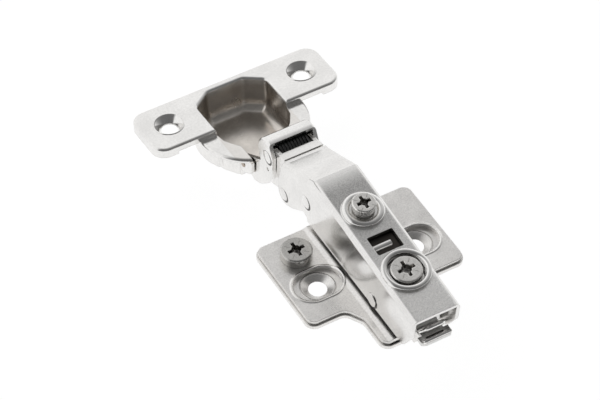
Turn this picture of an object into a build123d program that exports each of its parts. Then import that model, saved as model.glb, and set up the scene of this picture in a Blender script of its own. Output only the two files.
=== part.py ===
from build123d import *
import os
from math import cos, hypot, pi, radians, sin, tan

# Concealed cup hinge on its cross-shaped mounting plate, door open.
# X runs across, Y along the arm towards the cup, Z away from the cabinet side.
# The origin is midway between the plate's two screw holes, on its screw face.

# Sheet thicknesses and clearances
sheet = 1.2
cup_wall = 1.0
running_gap = 0.05
rivet_gap = 0.02
nesting_gap = 0.15
plate_gap = 0.1
tilt_gap = 0.6

# Lower plate
screw_spacing = 32.0
screw_hole_r = 2.7
screw_dish_r = 4.6
screw_dish_angle = 120
plate_half_width = 25.7
plate_front = 20.0
wing_rear = -12.4
tail_rear = -28.5
tail_half_width = 11.5
plate_corner = 3.0
hook_half_width = 2.6
hook_reach = 2.2
hook_play = 0.15

# Upper plate
upper_inset = 0.5
shelf_half_width = 8.4
shelf_rise = 0.5
ramp_half_width = 9.6
screw_window_r = 5.3
screw_window_travel = 3.8
rail_half_width = 3.5
rail_top = 9.0
rail_front = 16.0
rail_rear = -23.5

# Height cam screw
height_travel = 2.0
height_cam_x = -16.2
height_cam_y = 11.7
height_cam_turn = 60.0
height_cam_head_r = 4.65
height_cam_head_h = 3.0
height_cam_neck_r = 3.65
height_stud_r = 1.2
height_slot_play = 0.28

# Arm
arm_pitch = 5.05
arm_top_at_origin = 20.99
arm_rear_y = -36.1
arm_bend_y = 18.2
arm_second_bend = (33.7, 15.1)
arm_web_front = (39.2, 13.7)
arm_bottom_z = 4.0
arm_bend_r = 1.8
neck_start_y = 35.6
neck_eye_r = 3.6

# Adjusting screws
depth_travel = 2.0
depth_screw_y = -20.0
depth_head_r = 4.6
depth_head_proud = 1.0
depth_neck_r = 2.5
depth_disc_r = 4.9
depth_disc_h = 1.7
spiral_pitch = 2 * depth_travel
spiral_start_r = 0.6
spiral_stud_r = 0.4
spiral_play = 0.1
spiral_depth = 0.9
side_screw_y = 3.1
side_head_r = 3.5
side_head_h = 1.1
side_shank_r = 3.15
side_screw_proud = 4.0
side_neck_r = 1.6
side_foot_r = 3.0
side_foot_h = 0.8
side_play = 0.6
drive_half_width = 0.55
drive_depth = 1.7

# Pins and rivets, as (y, z) and radius
front_pin_at = (43.3, 9.5)
front_pin_r = 1.5
link_pin_at = (33.8, 2.5)
link_pin_r = 1.3
guide_pin_at = (21.6, 11.2)
guide_pin_r = 1.5
tilt_pin_at = (-15.3, 6.4)
tilt_pin_r = 1.5
rivet_head_h = 0.2
hook_pin_at = (14.2, 6.2)
hook_pin_r = 1.2
latch_pin_at = (-27.0, 9.8)
latch_pin_r = 1.0

# Cup pins, as (y, z) with the door open
outer_cup_pin_at = (54.94, -3.67)
inner_cup_pin_at = (51.99, -5.77)
cup_pin_r = 1.0
tilt_up = 1.5
tilt_down = 1.0

# Links
outer_link_ear_r = 5.8
outer_link_eye_r = 2.3
inner_link_half_width = 4.7
inner_link_eye_r = 2.0
link_slot_rise = 1.65
link_slot_play = 0.42
link_slot_wall = 1.1

# Closing spring
spring_wire = 0.9
spring_mean_r = 3.5
spring_turns = 9.5
spring_pitch = 0.965

# Cup
cup_plane_at = (75.8, 0.9)
cup_tilt = 5.5
cup_r = 17.5
cup_centre_v = -9.5
cup_depth = 11.5
cup_floor_radius = 3.5
wing_half_length = 31.4
wing_near_v = -9.8
wing_far_v = 9.3
wing_corner = 4.5
wing_skirt = 2.2
wing_edge_r = 0.8
end_skirt = 3.2
end_skirt_from = 24.5
ear_drop = 2.0
ear_edge_r = 0.9
ear_gap_half = 8.1
cup_screw_half = 22.5
cup_screw_r = 2.5
cup_dish_r = 4.35
dish_wall = 1.1
pocket_half_width = 11.8
pocket_far_v = 6.7
pocket_straight_v = 2.5
pocket_far_half = 6.0
pocket_corner = 2.5
collar_depth = 5.0

# Widths of the nested channels, each worked out from the one inside it
rail_gap = 0.2
clip_half_width = rail_half_width + rail_gap + sheet
slide_half_width = clip_half_width + nesting_gap + sheet
arm_half_width = slide_half_width + nesting_gap + sheet
neck_half_width = arm_half_width - sheet
outer_link_half_width = neck_half_width + nesting_gap + sheet

# Heights along the arm's normal, measured from the top of its web
slide_top = -sheet - tilt_gap
slide_under = slide_top - sheet
disc_top = slide_under - plate_gap
disc_under = disc_top - depth_disc_h
clip_top = disc_under - nesting_gap
clip_under = clip_top - sheet

# Heights of the mounting plate
upper_under = sheet + plate_gap
upper_top = upper_under + sheet
shelf_top = upper_top + shelf_rise
shelf_under = shelf_top - sheet

pitch_sin = sin(radians(arm_pitch))
pitch_cos = cos(radians(arm_pitch))
pitch_tan = tan(radians(arm_pitch))

# Length of the cutters that open the channels past both of their ends
cutter_length = 2 * (arm_web_front[0] - arm_rear_y)

# Planes: the arm's top face (x across, y along the arm) and its side view (x along, y out)
arm_top = Plane(
    origin=(0, 0, arm_top_at_origin),
    x_dir=(1, 0, 0),
    z_dir=(0, -pitch_sin, pitch_cos),
)
arm_side = Plane(
    origin=(0, 0, arm_top_at_origin),
    x_dir=(0, pitch_cos, pitch_sin),
    z_dir=(1, 0, 0),
)
cup_plane = Plane(
    origin=(0, cup_plane_at[0], cup_plane_at[1]),
    x_dir=(1, 0, 0),
    z_dir=(0, sin(radians(cup_tilt)), cos(radians(cup_tilt))),
)


def arm_line(y, below=0.0):
    """Height of the arm's straight top at y, lowered by a distance along its normal."""
    return arm_top_at_origin + y * pitch_tan - below / pitch_cos


def toward(centre, radius, angle):
    """The point at an angle on a circle in the side view."""
    return (centre[0] + radius * cos(radians(angle)), centre[1] + radius * sin(radians(angle)))


def lowered(points, distance):
    """An open line in the side view, moved below itself along the normals of its runs."""
    moved = []
    for i, (y, z) in enumerate(points):
        before = Vector(*points[max(i - 1, 0)])
        here = Vector(y, z)
        after = Vector(*points[min(i + 1, len(points) - 1)])
        first = (here - before if i else after - here).normalized()
        last = (after - here if i + 1 < len(points) else here - before).normalized()
        miter = (first + last) * (distance / (1 + first.dot(last)))
        moved.append((y + miter.Y, z - miter.X))
    return moved


def cross_recess(top, reach, depth):
    """Cut a cross recess and its four small ticks into the screw being built."""
    with BuildSketch(top) as recess:
        Rectangle(2 * reach, 2 * drive_half_width)
        Rectangle(2 * drive_half_width, 2 * reach)
        Circle(reach * 0.55)
    extrude(recess.sketch, amount=-depth, taper=12, mode=Mode.SUBTRACT)


os.makedirs("parts", exist_ok=True)

# Plan outline shared by the two plates: a cross with a narrower tail
plate_outline = [
    (plate_half_width, plate_front),
    (plate_half_width, wing_rear),
    (tail_half_width + 3.0, wing_rear),
    (tail_half_width, wing_rear - 5.0),
    (tail_half_width, tail_rear),
]
plate_points = plate_outline + [(-x, y) for x, y in reversed(plate_outline)]


def plate_plan(inset):
    """Draw the cross-shaped plan of a plate, smaller all round by the inset."""
    with BuildLine() as outline:
        Polyline(plate_points, close=True)
    make_face(outline.edges())
    fillet(vertices(), plate_corner)
    if inset > 0:
        offset(amount=-inset, mode=Mode.REPLACE)


# Lower plate: flat stamping with dished screw holes, a slot for the cam and two folded hooks
stud_offset = height_travel / sin(radians(height_cam_turn))
stud_back = stud_offset * (1 - cos(radians(height_cam_turn)))
hook_z = shelf_top + hook_play
with BuildPart() as lower_plate:
    with BuildSketch(Plane.XY):
        plate_plan(0)
    extrude(amount=sheet)
    with Locations((-screw_spacing / 2, 0, sheet), (screw_spacing / 2, 0, sheet)):
        CounterSinkHole(
            radius=screw_hole_r,
            counter_sink_radius=screw_dish_r,
            counter_sink_angle=screw_dish_angle,
        )
    with BuildSketch(Plane.XY):
        with Locations((height_cam_x, height_cam_y - stud_offset + stud_back / 2)):
            slot_r = height_stud_r + height_slot_play
            SlotOverall(stud_back + 2 * slot_r, 2 * slot_r, rotation=90)
    extrude(amount=sheet, mode=Mode.SUBTRACT)
    # Front and rear hooks, folded up and back over the upper plate
    for edge, way in ((plate_front, -1), (tail_rear, 1)):
        hook = [
            (edge + way * plate_corner, 0),
            (edge - way * sheet, 0),
            (edge - way * sheet, hook_z + sheet),
            (edge + way * hook_reach, hook_z + sheet),
            (edge + way * hook_reach, hook_z),
            (edge, hook_z),
            (edge, sheet),
            (edge + way * plate_corner, sheet),
        ]
        with BuildSketch(Plane.YZ):
            with BuildLine():
                Polyline(hook, close=True)
            make_face()
        extrude(amount=hook_half_width, both=True)
lower_plate.part.label = "lower_plate"
export_step(lower_plate.part, "parts/lower_plate.step")

# Upper plate: the flat wings, a ramp to the shelf and the rail pressed up in the middle
section = [
    (plate_half_width, upper_under),
    (plate_half_width, upper_top),
    (ramp_half_width, upper_top),
    (shelf_half_width, shelf_top),
    (rail_half_width, shelf_top),
    (rail_half_width, rail_top),
]
under_section = [
    (rail_half_width - sheet, rail_top - sheet),
    (rail_half_width - sheet, shelf_under),
    (shelf_half_width, shelf_under),
    (ramp_half_width, upper_under),
]
with BuildPart() as upper_plate:
    with BuildSketch(Plane.XZ.offset(-plate_front)):
        with BuildLine():
            Polyline(
                section
                + [(-x, z) for x, z in reversed(section)]
                + [(-x, z) for x, z in reversed(under_section)]
                + under_section,
                close=True,
            )
        make_face()
    extrude(amount=plate_front - tail_rear)
    with BuildSketch(Plane.XY):
        plate_plan(upper_inset)
        with Locations((-screw_spacing / 2, 0), (screw_spacing / 2, 0)):
            SlotOverall(
                screw_window_travel + 2 * screw_window_r,
                2 * screw_window_r,
                mode=Mode.SUBTRACT,
            )
        with Locations((height_cam_x, height_cam_y)):
            Circle(height_cam_neck_r + running_gap, mode=Mode.SUBTRACT)
    extrude(amount=rail_top, mode=Mode.INTERSECT)
    # The rail stops short of both ends, where the plate stays open for the hooks
    with BuildSketch(Plane.YZ):
        with BuildLine():
            Polyline(
                (rail_front, shelf_top),
                (rail_front, rail_top + sheet),
                (plate_front + sheet, rail_top + sheet),
                (plate_front + sheet, shelf_top),
                close=True,
            )
        make_face()
        with BuildLine():
            Polyline(
                (rail_rear, shelf_top),
                (rail_rear, rail_top + sheet),
                (tail_rear - sheet, rail_top + sheet),
                (tail_rear - sheet, shelf_top),
                close=True,
            )
        make_face()
    extrude(amount=rail_half_width + sheet, both=True, mode=Mode.SUBTRACT)
    # Notches in the rail's front ends for the hook pin
    notch_r = hook_pin_r + running_gap
    with BuildSketch(Plane.YZ):
        with Locations(hook_pin_at):
            Circle(notch_r)
        with Locations(((hook_pin_at[0] + plate_front) / 2, hook_pin_at[1])):
            Rectangle(plate_front - hook_pin_at[0], 2 * notch_r)
    extrude(amount=rail_half_width + sheet, both=True, mode=Mode.SUBTRACT)
    # Close the floor of the opening left under the rail's two ends
    for edge, stop in ((plate_front - upper_inset, rail_front), (tail_rear + upper_inset, rail_rear)):
        with BuildSketch(Plane.XY.offset(shelf_under)):
            with Locations((0, (edge + stop) / 2)):
                Rectangle(2 * rail_half_width, abs(edge - stop))
        extrude(amount=sheet)
    rail_edges = [
        e for e in upper_plate.edges().filter_by(Axis.Y)
        if abs(e.center().Z - rail_top) < 0.01 and abs(abs(e.center().X) - rail_half_width) < 0.01
    ]
    fillet(rail_edges, 0.8)
upper_plate.part.label = "upper_plate"
export_step(upper_plate.part, "parts/upper_plate.step")

# Height cam screw: cross-recess head, round neck in the upper plate, eccentric stud below
with BuildPart() as height_cam_screw:
    with BuildSketch(Plane.XY.offset(upper_top + running_gap)):
        with Locations((height_cam_x, height_cam_y)):
            Circle(height_cam_head_r)
    extrude(amount=height_cam_head_h)
    chamfer(height_cam_screw.edges().group_by(Axis.Z)[-1], 0.35)
    with BuildSketch(Plane.XY.offset(sheet + running_gap)):
        with Locations((height_cam_x, height_cam_y)):
            Circle(height_cam_neck_r)
    extrude(amount=sheet + plate_gap)
    with BuildSketch(Plane.XY.offset(nesting_gap)):
        with Locations((height_cam_x, height_cam_y - stud_offset)):
            Circle(height_stud_r)
    extrude(amount=sheet)
    head_face = upper_top + running_gap + height_cam_head_h
    cross_recess(Plane((height_cam_x, height_cam_y, head_face)), 2.6, drive_depth)
height_cam_screw.part.label = "height_cam_screw"
export_step(height_cam_screw.part, "parts/height_cam_screw.step")

# Clip base: channel that straddles the rail, with a stud in the depth cam's groove
clip_rear_y = -30.5
clip_front_y = 17.5
clip_floor = shelf_top + running_gap
screw_s = depth_screw_y / pitch_cos
side_s = side_screw_y / pitch_cos
with BuildPart() as clip_base:
    with BuildSketch(Plane.YZ):
        with BuildLine():
            Polyline(
                (clip_rear_y, arm_line(clip_rear_y, -clip_top)),
                (clip_front_y, arm_line(clip_front_y, -clip_top)),
                (clip_front_y, hook_pin_at[1] + 3.5),
                (clip_front_y - 1.0, clip_floor),
                (clip_rear_y + 8.5, clip_floor),
                (clip_rear_y, latch_pin_at[1] - 3.0),
                close=True,
            )
        make_face()
    extrude(amount=clip_half_width, both=True)
    with BuildSketch(arm_side):
        with Locations((0, clip_under - arm_top_at_origin)):
            Rectangle(cutter_length, 2 * arm_top_at_origin)
    extrude(amount=clip_half_width - sheet, both=True, mode=Mode.SUBTRACT)
    top_edges = [
        e for e in clip_base.edges()
        if abs(abs(e.center().X) - clip_half_width) < 0.01
        and e.center().Z > arm_line(e.center().Y, -clip_top) - 0.05
    ]
    fillet(top_edges, 1.0)
    # Travel slots for the tilt pins, and the holes of the hook pin and the latch pin
    with BuildSketch(Plane.YZ):
        with Locations(Location((*tilt_pin_at, 0), (0, 0, arm_pitch))):
            slot_d = 2 * (tilt_pin_r + running_gap)
            SlotOverall(2 * depth_travel + slot_d + 2 * nesting_gap, slot_d)
        with Locations(hook_pin_at):
            Circle(hook_pin_r + rivet_gap)
        with Locations(latch_pin_at):
            Circle(latch_pin_r + rivet_gap)
    extrude(amount=clip_half_width + sheet, both=True, mode=Mode.SUBTRACT)
    # Stud that the spiral groove drives to and fro
    with BuildSketch(arm_top.offset(clip_top - sheet / 2)):
        with Locations((0, screw_s + depth_travel + spiral_start_r)):
            Circle(spiral_stud_r)
    extrude(amount=sheet / 2 + spiral_depth)
clip_base.part.label = "clip_base"
export_step(clip_base.part, "parts/clip_base.step")

# Hook pin at the front of the clip base
with BuildPart() as front_hook_pin:
    with BuildSketch(Plane.YZ):
        with Locations(hook_pin_at):
            Circle(hook_pin_r)
    extrude(amount=clip_half_width - nesting_gap, both=True)
front_hook_pin.part.label = "front_hook_pin"
export_step(front_hook_pin.part, "parts/front_hook_pin.step")

# Latch lever: nose under the rail's rear edge, two ears on the pin, finger tab at the rear
lever_half_width = 3.4
nose_half_width = rail_half_width - sheet - 0.3
tab_half_width = slide_half_width - sheet - 0.2
spring_bay_half = 1.5
lever_ear_r = 2.2
with BuildPart() as latch_lever:
    with BuildSketch(Plane.YZ):
        with Locations(latch_pin_at):
            Circle(lever_ear_r)
        with BuildLine():
            Polyline(
                toward(latch_pin_at, lever_ear_r, 60),
                (rail_rear - 0.4, latch_pin_at[1] - 0.8),
                (rail_rear - 0.4, 5.6),
                (rail_rear - 2.0, 5.6),
                toward(latch_pin_at, lever_ear_r, -110),
                (latch_pin_at[0] - 4.5, latch_pin_at[1] - 2.6),
                (-36.2, 7.2),
                (-37.8, 8.0),
                (-37.8, 9.2),
                (-36.2, 8.5),
                (latch_pin_at[0] - 4.5, latch_pin_at[1] - 1.2),
                toward(latch_pin_at, lever_ear_r, 140),
                close=True,
            )
        make_face()
    extrude(amount=lever_half_width, both=True)
    # Nose that reaches under the rail's web
    with BuildSketch(Plane.YZ):
        with BuildLine():
            Polyline(
                (rail_rear - 0.6, 5.6),
                (rail_rear + 0.8, 6.2),
                (rail_rear + 0.8, rail_top - sheet - 0.15),
                (rail_rear - 0.6, rail_top - sheet - 0.15),
                close=True,
            )
        make_face()
    extrude(amount=nose_half_width, both=True)
    # Finger tab, wider than the lever
    with BuildSketch(Plane.YZ):
        with BuildLine():
            Polyline(
                (-34.6, 7.35),
                (-36.2, 7.2),
                (-37.8, 8.0),
                (-37.8, 9.2),
                (-36.2, 8.5),
                (-34.6, 8.65),
                close=True,
            )
        make_face()
    extrude(amount=tab_half_width, both=True)
    tab_corners = [
        e for e in latch_lever.edges()
        if abs(abs(e.center().X) - tab_half_width) < 0.01 and e.center().Y < -37.7
    ]
    chamfer(tab_corners, 1.0)
    with BuildSketch(Plane.YZ):
        with Locations(latch_pin_at):
            Circle(latch_pin_r + running_gap)
    extrude(amount=lever_half_width, both=True, mode=Mode.SUBTRACT)
    with BuildSketch(Plane.YZ):
        with Locations(latch_pin_at):
            Circle(lever_ear_r + 1.0)
    extrude(amount=spring_bay_half, both=True, mode=Mode.SUBTRACT)
latch_lever.part.label = "latch_lever"
export_step(latch_lever.part, "parts/latch_lever.step")

# Latch pin
with BuildPart() as latch_pin:
    with BuildSketch(Plane.YZ):
        with Locations(latch_pin_at):
            Circle(latch_pin_r)
    extrude(amount=clip_half_width - nesting_gap, both=True)
latch_pin.part.label = "latch_pin"
export_step(latch_pin.part, "parts/latch_pin.step")

# Latch spring: about three turns round the latch pin, one leg on the lever, one under the web
latch_wire_r = 0.25
latch_coil_r = latch_pin_r + 0.15 + latch_wire_r
latch_pitch = 0.6
latch_start_angle = 260
latch_end_angle = 330
latch_turns = 3 + (latch_end_angle - latch_start_angle) / 360
wire_flats = 6
back_leg = 2.5
front_leg = 3.1


def coil_line(centre, radius, pitch, turns, start_angle):
    """A helix along X that starts at an angle in the side view, centred on the hinge."""
    length = pitch * turns
    start = radians(start_angle)
    frame = Plane(
        origin=(-length / 2, *centre), x_dir=(0, cos(start), sin(start)), z_dir=(1, 0, 0)
    )
    return frame.location * Helix(pitch, length, radius, mode=Mode.PRIVATE)


def wire_section(origin, direction, radius):
    """The section of a spring's wire at one point, its round drawn with flats."""
    with BuildSketch(Plane(origin=origin, x_dir=(1, 0, 0), z_dir=direction)) as section:
        RegularPolygon(radius, wire_flats, rotation=180 / wire_flats)
    return section.sketch


with BuildPart() as latch_spring:
    coil = coil_line(latch_pin_at, latch_coil_r, latch_pitch, latch_turns, latch_start_angle)
    sweep(wire_section(coil @ 0, coil % 0, latch_wire_r), path=coil, is_frenet=True)
    extrude(wire_section(coil @ 0, -(coil % 0), latch_wire_r), amount=back_leg)
    extrude(wire_section(coil @ 1, coil % 1, latch_wire_r), amount=front_leg)
latch_spring.part.label = "latch_spring"
export_step(latch_spring.part, "parts/latch_spring.step")

# Depth slide: channel between the clip base and the arm, with slotted ears at the front
slide_rear_y = -31.0
slide_front_y = 13.0
slide_floor = 4.8
guide_lift = hypot(guide_pin_at[0] - tilt_pin_at[0], guide_pin_at[1] - tilt_pin_at[1])
guide_slot = guide_lift * (radians(tilt_up) + radians(tilt_down)) + 2 * guide_pin_r + 0.3
guide_mid = guide_lift * (radians(tilt_up) - radians(tilt_down)) / 2
with BuildPart() as depth_slide:
    with BuildSketch(Plane.YZ):
        with BuildLine():
            Polyline(
                (slide_rear_y, arm_line(slide_rear_y, -slide_top)),
                (slide_front_y, arm_line(slide_front_y, -slide_top)),
                (guide_pin_at[0] + 3.4, guide_pin_at[1] + 4.2),
                (guide_pin_at[0] + 3.4, guide_pin_at[1] - 3.6),
                (slide_front_y, slide_floor + 1.5),
                (slide_front_y - 3.0, slide_floor),
                (slide_rear_y + 3.0, slide_floor),
                (slide_rear_y, slide_floor + 5.0),
                close=True,
            )
        make_face()
    extrude(amount=slide_half_width, both=True)
    with BuildSketch(arm_side):
        with Locations((0, slide_under - arm_top_at_origin)):
            Rectangle(cutter_length, 2 * arm_top_at_origin)
    extrude(amount=slide_half_width - sheet, both=True, mode=Mode.SUBTRACT)
    with BuildSketch(Plane.XY):
        with Locations((0, slide_front_y + 10)):
            Rectangle(2 * (slide_half_width - sheet), 20)
    extrude(amount=2 * arm_top_at_origin, mode=Mode.SUBTRACT)
    top_edges = [
        e for e in depth_slide.edges()
        if abs(abs(e.center().X) - slide_half_width) < 0.01
        and e.center().Y < slide_front_y
        and e.center().Z > arm_line(e.center().Y, -slide_top) - 0.05
    ]
    fillet(top_edges, 0.9)
    with BuildSketch(Plane.YZ):
        with Locations(tilt_pin_at):
            Circle(tilt_pin_r + running_gap)
        with Locations((guide_pin_at[0], guide_pin_at[1] + guide_mid)):
            SlotOverall(guide_slot, 2 * (guide_pin_r + 0.2), rotation=90)
    extrude(amount=slide_half_width + sheet, both=True, mode=Mode.SUBTRACT)
    # Journal of the depth screw, and the keyhole that holds the side screw's foot
    with BuildSketch(arm_top.offset(slide_top)):
        with Locations((0, screw_s)):
            Circle(depth_neck_r + running_gap)
        with Locations((0, side_s)):
            Circle(side_neck_r + 0.5)
        with Locations((0, side_s + 3.0)):
            Rectangle(2 * side_neck_r + 1.0, 6.0)
        with Locations((0, side_s + 6.2)):
            Circle(side_foot_r + 0.2)
    extrude(amount=-sheet, mode=Mode.SUBTRACT)
depth_slide.part.label = "depth_slide"
export_step(depth_slide.part, "parts/depth_slide.step")

# Depth cam screw: head above the slide, neck through it, disc with a spiral groove below
spiral_points = 25


def spiral(turn, shift):
    """The point at a share of the spiral's turn, moved square to it by a shift."""
    angle = radians(90 + 360 * (turn - 0.5))
    radius = spiral_start_r + spiral_pitch * turn
    slope = spiral_pitch / (2 * pi)
    length = hypot(radius, slope)
    out = shift * radius / length
    along = -shift * slope / length
    return (
        (radius + out) * cos(angle) - along * sin(angle),
        screw_s + (radius + out) * sin(angle) + along * cos(angle),
    )


with BuildPart() as depth_cam_screw:
    for low, high, radius in (
        (slide_top + running_gap, depth_head_proud, depth_head_r),
        (disc_top - running_gap, slide_top + 2 * running_gap, depth_neck_r),
        (disc_under, disc_top, depth_disc_r),
    ):
        with BuildSketch(arm_top.offset(low)):
            with Locations((0, screw_s)):
                Circle(radius)
        extrude(amount=high - low)
    rim = [
        e for e in depth_cam_screw.edges().filter_by(GeomType.CIRCLE)
        if abs(e.radius - depth_head_r) < 0.01
    ]
    chamfer(rim, 0.35)
    groove_half = spiral_stud_r + spiral_play
    turns = [step / (spiral_points - 1) for step in range(spiral_points)]
    with BuildSketch(arm_top.offset(disc_under)):
        with BuildLine():
            inner = Spline([spiral(turn, -groove_half) for turn in turns])
            outer = Spline([spiral(turn, groove_half) for turn in turns])
            Line(inner @ 0, outer @ 0)
            Line(inner @ 1, outer @ 1)
        make_face()
        with Locations(spiral(0, 0), spiral(1, 0)):
            Circle(groove_half)
    extrude(amount=spiral_depth, mode=Mode.SUBTRACT)
    cross_recess(
        Plane(arm_top.offset(depth_head_proud).from_local_coords(Vector(0, screw_s, 0)),
              x_dir=arm_top.x_dir, z_dir=arm_top.z_dir),
        2.7,
        drive_depth,
    )
depth_cam_screw.part.label = "depth_cam_screw"
export_step(depth_cam_screw.part, "parts/depth_cam_screw.step")

# Side screw: threaded in the arm's front boss, its foot held in the slide's keyhole
with BuildPart() as side_screw:
    foot_top = slide_under - side_play
    for low, high, radius in (
        (side_screw_proud - side_head_h, side_screw_proud, side_head_r),
        (slide_top + side_play, side_screw_proud - side_head_h, side_shank_r),
        (foot_top, slide_top + side_play, side_neck_r),
        (foot_top - side_foot_h, foot_top, side_foot_r),
    ):
        with BuildSketch(arm_top.offset(low)):
            with Locations((0, side_s)):
                Circle(radius)
        extrude(amount=high - low)
    rim = [
        e for e in side_screw.edges().filter_by(GeomType.CIRCLE)
        if abs(e.radius - side_head_r) < 0.01
    ]
    chamfer(rim, 0.3)
    cross_recess(
        Plane(arm_top.offset(side_screw_proud).from_local_coords(Vector(0, side_s, 0)),
              x_dir=arm_top.x_dir, z_dir=arm_top.z_dir),
        2.2,
        drive_depth,
    )
side_screw.part.label = "side_screw"
export_step(side_screw.part, "parts/side_screw.step")

# Arm: folded channel, cranked down at the front and joggled in to the neck
arm_rear_top = (arm_rear_y, arm_line(arm_rear_y))
arm_bend = (arm_bend_y, arm_line(arm_bend_y))
neck_slope = (arm_second_bend[1] - arm_web_front[1]) / (arm_web_front[0] - arm_second_bend[0])
arm_past_rear = (-cutter_length / 2, arm_line(-cutter_length / 2))
arm_past_front = (cutter_length / 2, arm_web_front[1] - (cutter_length / 2 - arm_web_front[0]) * neck_slope)
neck_start = (neck_start_y, arm_second_bend[1] - (neck_start_y - arm_second_bend[0]) * neck_slope)
lobe_front_r = 3.0
with BuildPart() as arm_body:
    with BuildSketch(Plane.YZ):
        with BuildLine():
            Polyline(
                arm_rear_top,
                arm_bend,
                arm_second_bend,
                (34.9, 14.8),
                (37.0, 5.5),
                (36.75, 2.6),
            )
            ThreePointArc((36.75, 2.6), toward(link_pin_at, lobe_front_r, -45), (33.8, -0.6))
            Polyline(
                (33.8, -0.6),
                (32.3, -0.5),
                (28.9, 1.2),
                (22.7, 5.9),
                (20.8, 5.6),
                (20.1, 4.0),
                (18.0, arm_bottom_z),
                (-31.4, arm_bottom_z + 0.2),
                (-32.4, 5.2),
                (-35.4, 10.6),
                arm_rear_top,
            )
        make_face()
    extrude(amount=arm_half_width, both=True)
    bend_edges = [
        e for e in arm_body.edges()
        if abs(abs(e.center().X) - arm_half_width) < 0.01
        and e.center().Z > 13 and abs((e % 0.5).Z) < 0.6
    ]
    fillet(bend_edges, arm_bend_r)
    with BuildSketch(Plane.YZ):
        with BuildLine():
            Polyline(
                *lowered([arm_past_rear, arm_bend, arm_second_bend, arm_past_front], sheet),
                (arm_past_front[0], -cutter_length),
                (arm_past_rear[0], -cutter_length),
                close=True,
            )
        make_face()
    extrude(amount=neck_half_width, both=True, mode=Mode.SUBTRACT)
    # Neck: narrower by one sheet on each side, ending in the two eyes of the front pin
    with BuildSketch(Plane.YZ):
        with Locations(front_pin_at):
            Circle(neck_eye_r)
        with BuildLine():
            Polyline(
                neck_start,
                arm_web_front,
                toward(front_pin_at, neck_eye_r, 100),
                front_pin_at,
                toward(front_pin_at, neck_eye_r, -110),
                (37.6, 3.5),
                (neck_start_y, 3.0),
                close=True,
            )
        make_face()
    extrude(amount=neck_half_width, both=True)
    with BuildSketch(Plane.YZ):
        with BuildLine():
            Polyline(
                *lowered([arm_second_bend, arm_web_front], sheet),
                (arm_web_front[0], 2 * arm_web_front[1]),
                (arm_past_front[0], 2 * arm_web_front[1]),
                (arm_past_front[0], 0),
                (arm_second_bend[0], 0),
                close=True,
            )
        make_face()
    extrude(amount=neck_half_width - sheet, both=True, mode=Mode.SUBTRACT)
    # Pressed bosses round the two screws, hollow below as the sheet is
    side_boss_r = 6.3
    depth_boss_r = 6.7
    boss_h = 0.6
    for s, radius in ((side_s, side_boss_r), (screw_s, depth_boss_r)):
        with BuildSketch(arm_top):
            with Locations((0, s)):
                Circle(radius)
        extrude(amount=boss_h, taper=50)
        with BuildSketch(arm_top.offset(-sheet)):
            with Locations((0, s)):
                Circle(radius - sheet)
        extrude(amount=boss_h, taper=50, mode=Mode.SUBTRACT)
    # Thread of the side screw, oval opening of the depth screw, sight window
    with BuildSketch(arm_top.offset(boss_h)):
        with Locations((0, side_s)):
            Circle(side_shank_r + running_gap)
        with Locations((0, screw_s)):
            SlotOverall(11.4, 2 * depth_head_r + 0.8, rotation=90)
        with Locations((0, -8.9 / pitch_cos)):
            RectangleRounded(8.2, 6.6, 0.4)
    extrude(amount=-2 * sheet, mode=Mode.SUBTRACT)
    # Rivet holes
    with BuildSketch(Plane.YZ):
        with Locations(front_pin_at):
            Circle(front_pin_r + rivet_gap)
        with Locations(link_pin_at):
            Circle(link_pin_r + rivet_gap)
        with Locations(guide_pin_at):
            Circle(guide_pin_r + rivet_gap)
        with Locations(tilt_pin_at):
            Circle(tilt_pin_r + running_gap)
    extrude(amount=arm_half_width + sheet, both=True, mode=Mode.SUBTRACT)
arm_body.part.label = "arm_body"
export_step(arm_body.part, "parts/arm_body.step")


def rivet(centre, radius, half_length, head_from, head_r):
    """A rivet across the hinge: a round shank and a thin head over each flange."""
    with BuildSketch(Plane.YZ) as shank:
        with Locations(centre):
            Circle(radius)
    extrude(shank.sketch, amount=half_length, both=True)
    for side in (-1, 1):
        with BuildSketch(Plane.YZ.offset(side * head_from)) as head:
            with Locations(centre):
                Circle(head_r)
        extrude(head.sketch, amount=side * (half_length - head_from))


arm_head_from = arm_half_width + rivet_gap
arm_head_to = arm_head_from + rivet_head_h + 0.1

with BuildPart() as front_pin:
    front_head_from = outer_link_half_width + running_gap
    rivet(front_pin_at, front_pin_r, front_head_from + rivet_head_h, front_head_from, front_pin_r + 0.7)
front_pin.part.label = "front_pin"
export_step(front_pin.part, "parts/front_pin.step")

with BuildPart() as inner_link_pin:
    rivet(link_pin_at, link_pin_r, arm_head_to, arm_head_from, link_pin_r + 0.7)
inner_link_pin.part.label = "inner_link_pin"
export_step(inner_link_pin.part, "parts/inner_link_pin.step")

with BuildPart() as guide_pin:
    rivet(guide_pin_at, guide_pin_r, arm_head_to, arm_head_from, guide_pin_r + 0.7)
guide_pin.part.label = "guide_pin"
export_step(guide_pin.part, "parts/guide_pin.step")

# Tilt pins: one stub on each side, because the rail fills the middle
with BuildPart() as tilt_pins:
    stub_from = rail_half_width + rail_gap + running_gap
    for side in (-1, 1):
        with BuildSketch(Plane.YZ.offset(side * stub_from)):
            with Locations(tilt_pin_at):
                Circle(tilt_pin_r)
        extrude(amount=side * (arm_head_to - stub_from))
        with BuildSketch(Plane.YZ.offset(side * arm_head_from)):
            with Locations(tilt_pin_at):
                Circle(tilt_pin_r + 0.6)
        extrude(amount=side * (arm_head_to - arm_head_from))
tilt_pins.part.label = "tilt_pins"
export_step(tilt_pins.part, "parts/tilt_pins.step")

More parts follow.
